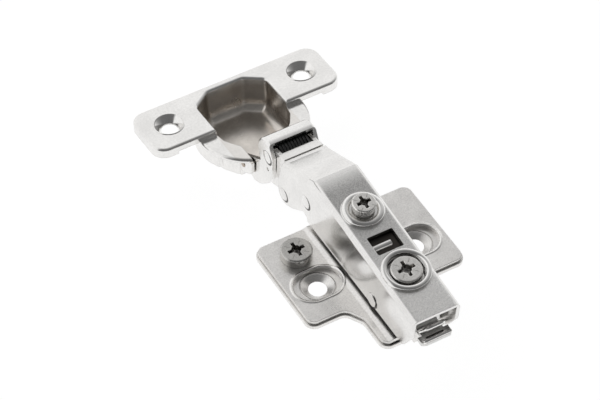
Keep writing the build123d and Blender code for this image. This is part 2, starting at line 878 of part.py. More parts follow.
# Outer link: two flanges joined by a bridge that is rolled round the front pin
bridge_from = -20
bridge_to = 100
eye_top_angle = 50
with BuildPart() as outer_link:
    with BuildSketch(Plane.YZ):
        with BuildLine():
            Line((40.2, 11.2), toward(front_pin_at, outer_link_ear_r, bridge_to))
            ThreePointArc(
                toward(front_pin_at, outer_link_ear_r, bridge_to),
                toward(front_pin_at, outer_link_ear_r, 40),
                toward(front_pin_at, outer_link_ear_r, bridge_from),
            )
            Polyline(
                toward(front_pin_at, outer_link_ear_r, bridge_from),
                (47.6, 4.4),
                toward(outer_cup_pin_at, outer_link_eye_r, eye_top_angle),
            )
            ThreePointArc(
                toward(outer_cup_pin_at, outer_link_eye_r, eye_top_angle),
                toward(outer_cup_pin_at, outer_link_eye_r, -20),
                toward(outer_cup_pin_at, outer_link_eye_r, -100),
            )
            Polyline(
                toward(outer_cup_pin_at, outer_link_eye_r, -100),
                (50.6, -7.2),
                (47.4, -5.7),
                (43.8, -2.4),
                (41.95, -0.45),
                (41.35, 0.75),
                (40.2, 3.0),
                (40.2, 11.2),
            )
        make_face()
    extrude(amount=outer_link_half_width, both=True)
    # Everything between the flanges goes, apart from the bridge
    with BuildSketch(Plane.YZ):
        with Locations(front_pin_at):
            Circle(outer_link_ear_r - sheet)
        with BuildLine():
            Polyline(
                (30, 30),
                toward(front_pin_at, 20, bridge_to),
                front_pin_at,
                toward(front_pin_at, 20, bridge_from),
                (70, -20),
                (30, -20),
                close=True,
            )
        make_face()
    extrude(amount=outer_link_half_width - sheet, both=True, mode=Mode.SUBTRACT)
    rolled = [
        e for e in outer_link.edges().filter_by(GeomType.CIRCLE)
        if abs(e.radius - outer_link_ear_r) < 0.01
        and abs(abs(e.center().X) - outer_link_half_width) < 0.01
    ]
    fillet(rolled, 0.9)
    with BuildSketch(Plane.YZ):
        with Locations(front_pin_at):
            Circle(front_pin_r + running_gap)
        with Locations(outer_cup_pin_at):
            Circle(cup_pin_r + running_gap)
    extrude(amount=outer_link_half_width, both=True, mode=Mode.SUBTRACT)
    # Small round dimple pressed into each flange
    for side in (-1, 1):
        with BuildSketch(Plane.YZ.offset(side * outer_link_half_width)):
            with Locations((42.8, 4.7)):
                Circle(0.6)
        extrude(amount=-side * 0.5, mode=Mode.SUBTRACT)
outer_link.part.label = "outer_link"
export_step(outer_link.part, "parts/outer_link.step")

# Inner link: channel with a round eye in the cup and a slotted eye on the arm's rivet
slot_r = link_pin_r + link_slot_play
slot_top = (link_pin_at[0] - 0.1, link_pin_at[1] + link_slot_rise)
slot_eye_r = slot_r + link_slot_wall
with BuildPart() as inner_link:
    with BuildSketch(Plane.YZ):
        for centre, radius in (
            (link_pin_at, slot_eye_r),
            (slot_top, slot_eye_r),
            (inner_cup_pin_at, inner_link_eye_r),
        ):
            with Locations(centre):
                Circle(radius)
        make_hull()
    extrude(amount=inner_link_half_width, both=True)
    # Open below: the web stays along the top edge only
    with BuildSketch(Plane.YZ):
        with Locations(link_pin_at):
            Circle(slot_eye_r + sheet)
        with BuildLine():
            Polyline(
                (slot_top[0] - 8, slot_top[1] + 4.0),
                (slot_top[0], slot_top[1] + 4.0),
                (slot_top[0] + 3.2, slot_top[1] + 0.4),
                toward(inner_cup_pin_at, inner_link_eye_r - sheet, 68),
                (inner_cup_pin_at[0] + 8, inner_cup_pin_at[1] - 2.0),
                (inner_cup_pin_at[0] + 8, -20),
                (slot_top[0] - 8, -20),
                close=True,
            )
        make_face()
    extrude(amount=inner_link_half_width - sheet, both=True, mode=Mode.SUBTRACT)
    with BuildSketch(Plane.YZ):
        for centre in (link_pin_at, slot_top):
            with Locations(centre):
                Circle(slot_r)
        make_hull()
    extrude(amount=inner_link_half_width, both=True, mode=Mode.SUBTRACT)
    with BuildSketch(Plane.YZ):
        with Locations(inner_cup_pin_at):
            Circle(cup_pin_r + running_gap)
    extrude(amount=inner_link_half_width, both=True, mode=Mode.SUBTRACT)
inner_link.part.label = "inner_link"
export_step(inner_link.part, "parts/inner_link.step")

# Closing spring: a close coil round the front pin, with a straight leg under the arm's web
spring_start_angle = -69
spring_leg = 5.5
with BuildPart() as torsion_spring:
    coil = coil_line(front_pin_at, spring_mean_r, spring_pitch, spring_turns, spring_start_angle)
    sweep(wire_section(coil @ 0, coil % 0, spring_wire / 2), path=coil, is_frenet=True)
    extrude(wire_section(coil @ 1, coil % 1, spring_wire / 2), amount=spring_leg)
torsion_spring.part.label = "torsion_spring"
export_step(torsion_spring.part, "parts/torsion_spring.step")

# Cup pins
cheek_outer = ear_gap_half + cup_wall
tab_outer = outer_link_half_width - sheet - nesting_gap
tab_inner = tab_outer - cup_wall
with BuildPart() as cup_outer_rivets:
    for side in (-1, 1):
        with BuildSketch(Plane.YZ.offset(side * (tab_outer + running_gap))):
            with Locations(outer_cup_pin_at):
                Circle(cup_pin_r)
        extrude(amount=side * (cheek_outer + rivet_head_h - tab_outer - running_gap))
cup_outer_rivets.part.label = "cup_outer_rivets"
export_step(cup_outer_rivets.part, "parts/cup_outer_rivets.step")

with BuildPart() as cup_inner_pin:
    with BuildSketch(Plane.YZ):
        with Locations(inner_cup_pin_at):
            Circle(cup_pin_r)
    extrude(amount=tab_outer - running_gap, both=True)
cup_inner_pin.part.label = "cup_inner_pin"
export_step(cup_inner_pin.part, "parts/cup_inner_pin.step")

# Plan of the cup's opening, and the space that is drawn down from it
pocket_near_v = -17.5
pocket_half = [
    (ear_gap_half, -30.0),
    (ear_gap_half, pocket_near_v),
    (9.0, -16.8),
    (11.3, -13.0),
    (pocket_half_width, -10.0),
    (pocket_half_width, pocket_straight_v),
    (pocket_far_half, pocket_far_v),
]
with BuildSketch() as pocket_plan:
    with BuildLine():
        Polyline(pocket_half + [(-u, v) for u, v in reversed(pocket_half)], close=True)
    make_face()
    corners = [p for p in vertices() if p.Y > pocket_straight_v - 0.1]
    fillet(corners, pocket_corner)
    bends = [p for p in vertices() if pocket_near_v - 0.1 < p.Y < -9.9]
    fillet(bends, 1.0)

with BuildPart() as pocket:
    with BuildSketch(cup_plane.offset(sheet)):
        add(pocket_plan.sketch)
    extrude(amount=-(sheet + cup_depth))
    floor_edges = pocket.faces().filter_by(cup_plane).sort_by(Axis.Z)[0].edges()
    near_edge = floor_edges.sort_by(Axis.Y)[0]
    fillet(floor_edges - [near_edge], cup_floor_radius)

# Ears: the near part of the cup's round rim, one step below the wings
ear_far_v = wing_near_v + sheet / 2
with BuildPart() as ears:
    with BuildSketch(cup_plane.offset(-ear_drop)):
        with Locations((0, cup_centre_v)):
            Circle(cup_r)
    extrude(amount=-sheet)
    fillet(ears.faces().sort_by(Axis.Z)[-1].edges(), ear_edge_r)
    with BuildSketch(cup_plane.offset(-ear_drop)):
        with Locations((0, ear_far_v + cup_r)):
            Rectangle(2 * cup_r, 2 * cup_r)
        add(pocket_plan.sketch)
    extrude(amount=-sheet, mode=Mode.SUBTRACT)

# Collar that locates the cup in the door's bore, up to the wings and the ears
with BuildPart() as collar:
    with BuildSketch(cup_plane.offset(-sheet / 2)):
        with Locations((0, cup_centre_v)):
            Circle(cup_r)
            Circle(cup_r - sheet, mode=Mode.SUBTRACT)
        with Locations((0, pocket_near_v - 2 * cup_r)):
            Rectangle(4 * cup_r, 4 * cup_r, mode=Mode.SUBTRACT)
    extrude(amount=-(ear_drop + collar_depth - sheet / 2))
    with BuildSketch(cup_plane):
        with Locations((0, ear_far_v - 2 * cup_r)):
            Rectangle(4 * cup_r, 4 * cup_r)
    extrude(amount=-(ear_drop + ear_edge_r), mode=Mode.SUBTRACT)

# Shell round the pocket: up to the wings, and in front of them only up to the ears
shell_near_v = -18.6
with BuildPart() as shell:
    with BuildSketch(cup_plane.offset(-sheet / 2)):
        add(pocket_plan.sketch)
        offset(amount=cup_wall, kind=Kind.ARC, mode=Mode.REPLACE)
        with Locations((0, shell_near_v - 2 * cup_r)):
            Rectangle(4 * cup_r, 4 * cup_r, mode=Mode.SUBTRACT)
    extrude(amount=-(cup_depth + cup_wall - sheet / 2))
    with BuildSketch(cup_plane):
        with Locations((0, ear_far_v - 2 * cup_r)):
            Rectangle(4 * cup_r, 4 * cup_r)
    extrude(amount=-(ear_drop + sheet / 2), mode=Mode.SUBTRACT)

# Cup: wings with a rolled edge, the ears, collar, drawn pocket, cheeks and inner tabs
wing_mid_v = (wing_near_v + wing_far_v) / 2
wing_depth_v = wing_far_v - wing_near_v
with BuildPart() as hinge_cup:
    with BuildSketch(cup_plane):
        with Locations((0, wing_mid_v)):
            RectangleRounded(2 * wing_half_length, wing_depth_v, wing_corner)
        add(pocket_plan.sketch, mode=Mode.SUBTRACT)
    extrude(amount=-wing_skirt)
    fillet(hinge_cup.faces().filter_by(cup_plane).sort_by(Axis.Z)[-1].edges(), wing_edge_r)
    with BuildSketch(cup_plane.offset(-sheet)):
        with Locations((0, wing_mid_v)):
            RectangleRounded(
                2 * (wing_half_length - sheet), wing_depth_v - 2 * sheet, wing_corner - sheet
            )
    extrude(amount=-wing_skirt, mode=Mode.SUBTRACT)
    # Dishes round the wing screws
    with BuildSketch(cup_plane.offset(-sheet / 2)):
        with Locations((-cup_screw_half, 0), (cup_screw_half, 0)):
            Circle(cup_dish_r + dish_wall)
    extrude(amount=-1.5 * sheet, taper=25)
    # The rolled edge is deeper round the ends of the wings
    with BuildSketch(cup_plane.offset(-wing_skirt / 2)):
        with Locations((0, wing_mid_v)):
            RectangleRounded(2 * wing_half_length, wing_depth_v, wing_corner)
            RectangleRounded(
                2 * (wing_half_length - sheet),
                wing_depth_v - 2 * sheet,
                wing_corner - sheet,
                mode=Mode.SUBTRACT,
            )
            Rectangle(2 * end_skirt_from, wing_depth_v + sheet, mode=Mode.SUBTRACT)
    extrude(amount=-(end_skirt - wing_skirt / 2))
    add(ears.part)
    add(collar.part)
    add(shell.part)
    # Cheeks: side walls that carry the outer cup pins
    for side in (-1, 1):
        with BuildSketch(Plane.YZ.offset(side * ear_gap_half)):
            with BuildLine():
                Polyline(
                    (50.0, 0.8),
                    (62.0, -0.4),
                    (62.0, -8.0),
                    (57.6, -8.1),
                    (53.6, -6.3),
                    (50.8, -4.4),
                    (50.0, -2.6),
                    close=True,
                )
            make_face()
        extrude(amount=side * cup_wall)
    add(pocket.part, mode=Mode.SUBTRACT)
    # Bearing tabs of the inner cup pin, rising from the floor
    for side in (-1, 1):
        with BuildSketch(Plane.YZ.offset(side * tab_inner)):
            with Locations(inner_cup_pin_at):
                Circle(inner_link_eye_r)
            with BuildLine():
                Polyline(
                    toward(inner_cup_pin_at, inner_link_eye_r, 70),
                    (60.5, -8.6),
                    (60.5, -10.0),
                    (57.6, -9.6),
                    toward(inner_cup_pin_at, inner_link_eye_r, -115),
                    close=True,
                )
            make_face()
        extrude(amount=side * cup_wall)
    with Locations(cup_plane):
        with Locations((-cup_screw_half, 0, 0), (cup_screw_half, 0, 0)):
            CounterSinkHole(radius=cup_screw_r, counter_sink_radius=cup_dish_r)
    with BuildSketch(Plane.YZ):
        with Locations(outer_cup_pin_at):
            Circle(cup_pin_r + rivet_gap)
    extrude(amount=cheek_outer + sheet, both=True, mode=Mode.SUBTRACT)
    with BuildSketch(Plane.YZ):
        with Locations(inner_cup_pin_at):
            Circle(cup_pin_r + rivet_gap)
    extrude(amount=tab_outer, both=True, mode=Mode.SUBTRACT)
hinge_cup.part.label = "hinge_cup"
export_step(hinge_cup.part, "parts/hinge_cup.step")
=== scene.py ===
# %% [markdown]
# # A concealed cup hinge in bright nickel
# The hinge lies open: a round cup with two screw wings, two links, a folded arm with its
# adjusting screws, and the two-layer plate that is screwed to the cabinet. Its steel sheets,
# pins and screws are already there at their real size, so this lesson is about what makes
# them look like plated steel: the finish, the turned and wound small parts, and the light.

import math

import bmesh
import bpy
import numpy as np
from mathutils import Matrix, Vector


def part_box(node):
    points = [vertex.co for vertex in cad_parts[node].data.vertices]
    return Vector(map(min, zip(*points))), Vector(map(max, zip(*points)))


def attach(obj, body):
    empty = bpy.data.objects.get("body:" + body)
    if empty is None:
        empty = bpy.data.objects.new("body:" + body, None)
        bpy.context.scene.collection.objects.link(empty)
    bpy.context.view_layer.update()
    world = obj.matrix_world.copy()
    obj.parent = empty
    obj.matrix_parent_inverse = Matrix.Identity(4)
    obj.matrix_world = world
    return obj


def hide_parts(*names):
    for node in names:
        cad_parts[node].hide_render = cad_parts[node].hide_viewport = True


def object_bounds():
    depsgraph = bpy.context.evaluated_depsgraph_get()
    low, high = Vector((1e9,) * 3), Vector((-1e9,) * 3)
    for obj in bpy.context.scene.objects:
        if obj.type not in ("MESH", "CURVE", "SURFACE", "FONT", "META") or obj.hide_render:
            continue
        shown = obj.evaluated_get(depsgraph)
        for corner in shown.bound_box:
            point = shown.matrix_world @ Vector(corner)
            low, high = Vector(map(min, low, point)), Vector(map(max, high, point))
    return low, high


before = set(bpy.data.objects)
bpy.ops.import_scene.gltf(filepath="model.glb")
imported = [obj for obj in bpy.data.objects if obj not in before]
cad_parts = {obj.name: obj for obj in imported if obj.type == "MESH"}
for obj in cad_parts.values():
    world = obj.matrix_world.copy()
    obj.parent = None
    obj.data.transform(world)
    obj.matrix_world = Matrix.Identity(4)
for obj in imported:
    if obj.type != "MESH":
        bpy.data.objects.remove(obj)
cad_low, cad_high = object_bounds()
print("parts:", len(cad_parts), "size in mm:", [round(1000 * s, 1) for s in cad_high - cad_low])

# %% [markdown]
# ## Surfaces from arrays
# A turned pin or a coil of wire is a grid of points: one parameter runs along the piece and
# the other runs round it. Modelling tools could place them by hand, but a formula keeps each
# radius exact and lets one helper turn any grid into a closed mesh.

# %% Turn a grid of points into a mesh
WELD = 1e-7
SMOOTH_ANGLE = math.radians(35)


def surface(name, points, round_rows=False):
    """A mesh on a grid of points (rows, columns, 3); columns always close on themselves."""
    rows, columns = points.shape[:2]
    row, column = np.meshgrid(
        np.arange(rows if round_rows else rows - 1), np.arange(columns), indexing="ij"
    )
    next_row = (row + 1) % rows
    next_column = (column + 1) % columns
    quads = np.stack(
        [
            row * columns + column,
            next_row * columns + column,
            next_row * columns + next_column,
            row * columns + next_column,
        ],
        axis=-1,
    ).reshape(-1, 4)
    mesh = bpy.data.meshes.new(name)
    mesh.from_pydata(points.reshape(-1, 3).tolist(), [], quads.tolist())
    tidy = bmesh.new()
    tidy.from_mesh(mesh)
    bmesh.ops.remove_doubles(tidy, verts=tidy.verts, dist=WELD)
    bmesh.ops.recalc_face_normals(tidy, faces=tidy.faces)
    tidy.to_mesh(mesh)
    tidy.free()
    mesh.shade_smooth()
    mesh.set_sharp_from_angle(angle=SMOOTH_ANGLE)
    piece = bpy.data.objects.new(name, mesh)
    bpy.context.scene.collection.objects.link(piece)
    return piece


# %% [markdown]
# ## Turned pieces
# Rivets and pins come off a lathe or a heading press, so their shape is one outline turned
# round an axis. The outline is given as pairs of distance along the axis and radius. A solid
# pin's outline starts and ends on the axis, which closes both ends, and a ring's outline
# closes on itself.

# %% Turn an outline round an axis
ROUND_STEPS = 48


def turned(name, outline, centre, axis, ring_shaped=False):
    """Points of the outline, each carried round the axis: centre + along * axis + radius * ring."""
    outline = np.array(outline, float)
    axis = np.array(Vector(axis).normalized())
    side = np.array(Vector(axis).orthogonal().normalized())
    other = np.cross(axis, side)
    angle = np.linspace(0, 2 * np.pi, ROUND_STEPS, endpoint=False)
    ring = np.cos(angle)[:, None] * side + np.sin(angle)[:, None] * other
    points = (
        np.array(centre)
        + outline[:, 0][:, None, None] * axis
        + outline[:, 1][:, None, None] * ring[None]
    )
    return surface(name, points, round_rows=ring_shaped)


# %% [markdown]
# ## Sums on sockets
# A finish is built from many small sums on noise and place. Each sum is a Math node, and a
# class that stands for a socket lets Python's own signs write them, so that
# `1 - mask * 0.3` adds two nodes and joins them. Any other node comes from one method.

# %% Wrap a socket for sums


class Wired:
    """A socket of a node tree that can stand in a sum."""

    def __init__(self, tree, socket=None):
        self.tree = tree
        self.socket = socket

    def node(self, kind, settings=None, inputs=None, output=0):
        """Adds a node: its settings first, then the values or links of its sockets."""
        made = self.tree.nodes.new(kind)
        for name, value in (settings or {}).items():
            if name == "stops":
                ramp = made.color_ramp.elements
                while len(ramp) < len(value):
                    ramp.new(0.5)
                for stop, (at, shade) in zip(ramp, value):
                    stop.position = at
                    stop.color = (shade, shade, shade, 1)
            else:
                setattr(made, name, value)
        for name, value in (inputs or {}).items():
            if isinstance(value, Wired):
                self.tree.links.new(value.socket, made.inputs[name])
            else:
                made.inputs[name].default_value = value
        return Wired(self.tree, made.outputs[output] if made.outputs else None)

    def maths(self, operation, *others):
        """A Math node on this socket and the others."""
        values = dict(enumerate((self, *others)))
        return self.node("ShaderNodeMath", {"operation": operation}, values)

    def __add__(self, other):
        return self.maths("ADD", other)

    def __sub__(self, other):
        return self.maths("SUBTRACT", other)

    def __rsub__(self, other):
        return self.node("ShaderNodeMath", {"operation": "SUBTRACT"}, {0: other, 1: self})

    def __mul__(self, other):
        return self.maths("MULTIPLY", other)

    def __gt__(self, other):
        return self.maths("GREATER_THAN", other)

    def __lt__(self, other):
        return self.maths("LESS_THAN", other)

    __radd__ = __add__
    __rmul__ = __mul__

    def ramp(self, low, high):
        """0 below low, 1 above high, and smooth in between."""
        return self.node(
            "ShaderNodeMapRange",
            {"interpolation_type": "SMOOTHSTEP"},
            {"Value": self, "From Min": low, "From Max": high},
        )

    def dot(self, direction):
        """How far this vector reaches along a direction."""
        inputs = {0: self, 1: direction}
        return self.node("ShaderNodeVectorMath", {"operation": "DOT_PRODUCT"}, inputs, "Value")

    def minus(self, other):
        """This vector less another one."""
        inputs = {0: self, 1: tuple(other)}
        return self.node("ShaderNodeVectorMath", {"operation": "SUBTRACT"}, inputs)

    def along(self, axis):
        """One coordinate of this vector."""
        return self.node("ShaderNodeSeparateXYZ", {}, {0: self}, axis)

    def facing(self):
        """The way the surface faces, in the piece's own coordinates."""
        return self.node("ShaderNodeTexCoord", output="Normal")


# %% [markdown]
# Four helpers on top of it are needed again and again: noise of a size, a blend of two
# colours, a colour made lighter or darker, and the distance from a point.

# %% Helpers for finishes


def noise(place, size, detail=2.0):
    """Noise whose bumps are about as large as the size, in metres."""
    inputs = {"Vector": place, "Scale": 0.5 / size, "Detail": detail}
    return place.node("ShaderNodeTexNoise", {}, inputs, "Fac")


def blend(mask, first, second):
    """The first colour where the mask is 0, and the second where it is 1."""
    inputs = {"Factor": mask, 6: first, 7: second}
    return mask.node("ShaderNodeMix", {"data_type": "RGBA"}, inputs, 2)


def grey(colour, factor):
    """A colour made lighter or darker by a factor."""
    return (*[min(channel * factor, 1.0) for channel in colour], 1.0)


def distance(place, centre, keep=(1, 1, 1)):
    """How far a place is from a centre, along the axes that are kept."""
    flat = place.node(
        "ShaderNodeVectorMath", {"operation": "MULTIPLY"}, {0: place.minus(centre), 1: keep}
    )
    return flat.node("ShaderNodeVectorMath", {"operation": "LENGTH"}, {0: flat}, "Value")


# %% [markdown]
# ## Nickel on pressed steel
# Barrel nickel copies the steel under it. Where the sheet was rolled and tumbled it keeps a
# fine grain, and where a die drew it over an edge it is bright. A metal shader with one
# roughness would look like plastic, so the grain is noise in the colour, the roughness and a
# very shallow bump, and the cut edges get a small round from the Bevel node, because a
# sheared edge is never sharp and its thin highlight is what shows the sheet's thickness.
# A part with something of its own, such as a matt face or painted shade in a gap, hands in a
# function that gives masks: `cover` with its `colour` and how much `rougher` it is, and also
# `dark`, where shade is painted in the gap colour, and `height` where the part needs them.

# %% The nickel finish
EDGE_ROUND = 0.00022
EDGE_SAMPLES = 4
BUMP_DISTANCE = 0.00003
GAP_SHADE_COLOUR = (0.06, 0.055, 0.05, 1)
CLOUD_SIZE = 14
CLOUD_ROUGH = 0.10
GRAIN_ROUGH = 0.5


def finish(
    name, colour, rough, grain_size, grain, cloud=0.05, extra=None, edge=EDGE_ROUND, metal=1.0
):
    """A plated metal: grain of a size and strength, slow clouds, and an optional mask for more."""
    material = bpy.data.materials.new(name)
    material.use_nodes = True
    tree = material.node_tree
    tree.nodes.clear()
    start = Wired(tree)
    place = start.node("ShaderNodeTexCoord", output="Object")
    fine = noise(place, grain_size, 3.0)
    slow = noise(place, CLOUD_SIZE * grain_size)
    strength = fine * grain + slow * cloud
    lift = strength.ramp(0.25 * (grain + cloud), 0.75 * (grain + cloud))
    base = blend(lift, grey(colour, 1 - grain - cloud), grey(colour, 1 + grain + cloud))
    level = rough - 0.5 * (CLOUD_ROUGH + GRAIN_ROUGH * grain)
    roughness = slow * CLOUD_ROUGH + fine * (GRAIN_ROUGH * grain) + level
    height = fine * grain
    masks = extra(place) if extra else {}
    if "cover" in masks:
        base = blend(masks["cover"], base, masks["colour"])
        roughness = roughness + masks["cover"] * masks["rougher"]
    # painted shade: where the dark mask is on, the gap colour stands in for shade
    if "dark" in masks:
        base = blend(masks["dark"], base, GAP_SHADE_COLOUR)
    if "height" in masks:
        height = height + masks["height"]
    rounded = start.node("ShaderNodeBevel", {"samples": EDGE_SAMPLES}, {"Radius": edge})
    inputs = {"Height": height, "Strength": 1.0, "Distance": BUMP_DISTANCE, "Normal": rounded}
    bump = start.node("ShaderNodeBump", {}, inputs)
    inputs = {"Base Color": base, "Roughness": roughness, "Normal": bump, "Metallic": metal}
    shader = start.node("ShaderNodeBsdfPrincipled", {}, inputs)
    start.node("ShaderNodeOutputMaterial", {}, {"Surface": shader})
    return material


def dress(node, material):
    """Gives one solid part its finish."""
    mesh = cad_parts[node].data
    mesh.materials.clear()
    mesh.materials.append(material)


# %% [markdown]
# ## Where things lie on the arm and the cup
# The arm's top slopes by about five degrees, and the cup's wings by about as much. Patterns
# and new pieces on them need the same few lines and points: the way along the arm, the way
# out of its top, the feet of the two adjusting screws and the plane of the wings.

# %% Points and directions
arm_pitch = math.radians(5.05)
along_arm = (0, math.cos(arm_pitch), math.sin(arm_pitch))
arm_normal = np.array((0, -math.sin(arm_pitch), math.cos(arm_pitch)))
ARM_TOP_AT_ORIGIN = 0.02099


def arm_top(y):
    """The point on the arm's straight top, on the middle line, at a distance along it."""
    return np.array((0, y, ARM_TOP_AT_ORIGIN + y * math.tan(arm_pitch)))


side_at = arm_top(0.0031)
depth_at = arm_top(-0.0200)
cup_tilt = math.radians(5.5)
cup_up = (0, math.sin(cup_tilt), math.cos(cup_tilt))
cup_at = np.array((0, 0.0758, 0.0009))
wing_height = Vector(cup_at).dot(Vector(cup_up))
print("side screw stands on", side_at.round(4), "and depth screw on", depth_at.round(4))

# %% [markdown]
# ## The arm's matt top
# The arm's top is the plainest sheet: matt, with a grain that can be seen from a step away,
# and with painted shade that makes it darker at the front than at the rear. Towards the crank
# the press has polished it, and so it has the two bosses under the screws; a little of a darker
# colour on the satin there is painted shade too. One mask says where it is matt: behind the
# crank, on faces that look up, and off the bosses. The crank's bend is round on the real sheet
# and a crease in the solid. A bump whose height grows with the square of the distance from the
# bend's end tilts the light as a rounded bend would.

# %% Masks of the arm's top
ARM_COLOUR = (0.80, 0.79, 0.775)
MATT_END = (0.0125, 0.0215)
MATT_FACES = (0.9, 0.99)
MATT_ROUGHER = 0.14
BOSS_R = 0.0061
BOSS_EDGE = 0.0004
SPECK_SIZE = 0.00013
SPECK_RAMP = (0.40, 0.60)
SPECK_HEIGHT = 0.25
FRONT_SPECKS_SHADED = (0.50, 0.80)
REAR_SPECKS_LIT = (0.88, 1.20)
SHADE_FROM = (-0.030, 0.012)
CRANK_FACES = (0.7, 0.8)
CRANK_FROM = (0.0150, 0.0172)
SATIN_FROM = (0.0262, 0.0300)
SATIN = 0.08
SATIN_PAINTED_SHADE = 0.55
BEND_AT = 0.0182
BEND_REACH = 0.0062
BEND_TILT = 0.26


def matt_top(place):
    """The matt, darker rear with painted shade to the front, the satin below the crank, the bend."""
    along = place.along("Y")
    upward = place.facing().dot((0, 0, 1))
    bosses = [distance(place, at).ramp(BOSS_R, BOSS_R + BOSS_EDGE) for at in (side_at, depth_at)]
    matt = (1 - along.ramp(*MATT_END)) * upward.ramp(*MATT_FACES) * bosses[0] * bosses[1]
    speck = noise(place, SPECK_SIZE, 4.0).ramp(*SPECK_RAMP)
    # painted shade: the specks are darker at the front of the arm than at its rear
    front = blend(speck, *[grey(ARM_COLOUR, shade) for shade in FRONT_SPECKS_SHADED])
    rear = blend(speck, *[grey(ARM_COLOUR, shade) for shade in REAR_SPECKS_LIT])
    colour = blend(along.ramp(*SHADE_FROM), rear, front)
    # painted shade: the satin near the crank takes a little of a darker colour
    colour = blend(matt, grey(ARM_COLOUR, SATIN_PAINTED_SHADE), colour)
    satin = upward.ramp(*CRANK_FACES) * along.ramp(*CRANK_FROM) * along.ramp(*SATIN_FROM)
    cover = (matt + satin * SATIN).maths("MINIMUM", 1.0)
    near = (BEND_REACH - (along - BEND_AT).maths("ABSOLUTE")).maths("MAXIMUM", 0.0)
    slope = -BEND_TILT / (2 * BEND_REACH * BUMP_DISTANCE)
    bend = near * near * upward.ramp(*CRANK_FACES) * slope
    height = speck * matt * SPECK_HEIGHT + bend
    return {"cover": cover, "colour": colour, "rougher": MATT_ROUGHER, "height": height}


# %% [markdown]
# ## Painted shade in the gaps round the rivets
# A rivet's head is pressed on the sheet but never quite touches it all round, and the shade in
# the gap at its lower rear edge shows as a thin dark line. It is far thinner than a model of
# the gap could show, so the shade is painted: a dark ring about the pin, moved a little down
# and back, on the faces that look sideways.

# %% Masks of the painted shade in the gaps
GAP_SHIFT = np.array((-0.00042, -0.00016))
GAP_EDGE = (0.00012, 0.00026)
SIDE_FACES = (0.8, 0.95)
ACROSS_PINS = (0, 1, 1)


def rivet_shadow(place, centre, radius):
    """Painted shade in the gap under a rivet's head, seen at its lower rear edge."""
    # painted shade: a dark ring, moved down and back, stands for the shade in the gap
    moved = (0, centre[0] + GAP_SHIFT[0], centre[1] + GAP_SHIFT[1])
    sideways = place.facing().dot((1, 0, 0)).maths("ABSOLUTE").ramp(*SIDE_FACES)
    far = distance(place, moved, ACROSS_PINS).ramp(radius + GAP_EDGE[0], radius + GAP_EDGE[1])
    return (1 - far) * sideways


def gap_shades_round(place, *pins):
    """Painted shade in the gaps under the heads of some pins, the widest where several meet."""
    total = None
    for pin in pins:
        low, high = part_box(pin)
        middle = ((low.y + high.y) / 2, (low.z + high.z) / 2)
        one = rivet_shadow(place, middle, (high.z - low.z) / 2)
        total = one if total is None else total.maths("MAXIMUM", one)
    return total


def arm_masks(place):
    """The arm's matt top and the painted shade in the gaps round its rivets."""
    return {**matt_top(place), "dark": gap_shades_round(place, "inner_link_pin", "guide_pin", "tilt_pins")}


arm_nickel = finish(
    "arm_nickel", ARM_COLOUR, rough=0.20, grain_size=0.00030, grain=0.04, extra=arm_masks
)
dress("arm_body", arm_nickel)
print("arm dressed; its matt top ends between", MATT_END, "m along the arm")

# %% [markdown]
# ## Links and cup
# The cup and the links were drawn and folded hardest and are nearly mirror bright, with faint
# clouds on the links. Inside the cup's pocket a darker brown colour is painted as its shade.
# That mask needs three things: below the wings' face, between the wings, and on faces that
# look inwards, which are those that face a point above the pocket.

# %% Dress the links and the cup
CUP_COLOUR = (0.83, 0.82, 0.805)
LINK_CLOUD = 0.004
LINK_COVER = 0.2
LINK_SHADE = 0.9
POCKET_SHADE_COLOUR = (0.66, 0.62, 0.575)
POCKET_SHADES = (0.8, 1.25)
POCKET_CLOUD = 0.0018
POCKET_ROUGHER = 0.06
POCKET_ABOVE = (0, 0.0680, 0.0200)
POCKET_BELOW = (0.0012, 0.0030)
POCKET_HALF = (0.0120, 0.0124)
ROLLED_EDGE = 0.00035


def link_masks(place):
    """Faint clouds and the painted shade in the gap round the front pin."""
    cover = noise(place, LINK_CLOUD) * LINK_COVER
    colour = grey(CUP_COLOUR, LINK_SHADE)
    return {"cover": cover, "colour": colour, "rougher": 0.0, "dark": gap_shades_round(place, "front_pin")}


def pocket_shade(place):
    """Painted shade inside the drawn pocket, below the wings' face."""
    depth = wing_height - place.dot(cup_up)
    across = place.along("X").maths("ABSOLUTE")
    outward = place.minus(POCKET_ABOVE).dot(place.facing())
    cover = depth.ramp(*POCKET_BELOW) * (1 - across.ramp(*POCKET_HALF)) * (outward < 0.0)
    cloud = noise(place, POCKET_CLOUD, 3.0)
    # painted shade: a darker brown inside the pocket
    colour = blend(cloud, *[grey(POCKET_SHADE_COLOUR, shade) for shade in POCKET_SHADES])
    return {"cover": cover, "colour": colour, "rougher": POCKET_ROUGHER}


link_nickel = finish(
    "link_nickel", CUP_COLOUR, rough=0.18, grain_size=0.00030, grain=0.04, extra=link_masks
)
cup_nickel = finish(
    "cup_nickel", CUP_COLOUR, rough=0.20, grain_size=0.00030, grain=0.04,
    extra=pocket_shade, edge=ROLLED_EDGE,
)
dress("outer_link", link_nickel)
dress("inner_link", link_nickel)
dress("hinge_cup", cup_nickel)
print("links and cup dressed; wings at", round(1000 * wing_height, 2), "mm along their normal")

# %% [markdown]
# ## The mounting plate
# The plate is satin. Round each screw hole the press has raised a low ring, long where the
# hole's window is long, and a second one round the dish. They are a few hundredths of a
# millimetre high, so they are a bump with a smoother top, and the lighter colour on that top
# is a painted highlight. How far a place is from the window's middle line gives the long
# ring: a distance that only starts to count past the window's straight part.

# %% Dress the plate
PLATE_COLOUR = (0.80, 0.785, 0.765)
HOLE_AT = 0.016
WINDOW_TRAVEL = 0.0019
RIM_R = 0.0058
RIM_HALF = 0.0006
DISH_RIM_R = 0.0050
DISH_RIM_HALF = 0.0003
RIM_HEIGHT = 7.0
RIM_COVER = 0.5
RIM_PAINTED_HIGHLIGHT = 1.15
RIM_ROUGHER = -0.14


def ridge(span, middle, half_width):
    """A round ridge of height 1 where the span passes the middle."""
    return 1 - (span - middle).maths("ABSOLUTE").ramp(0, half_width)


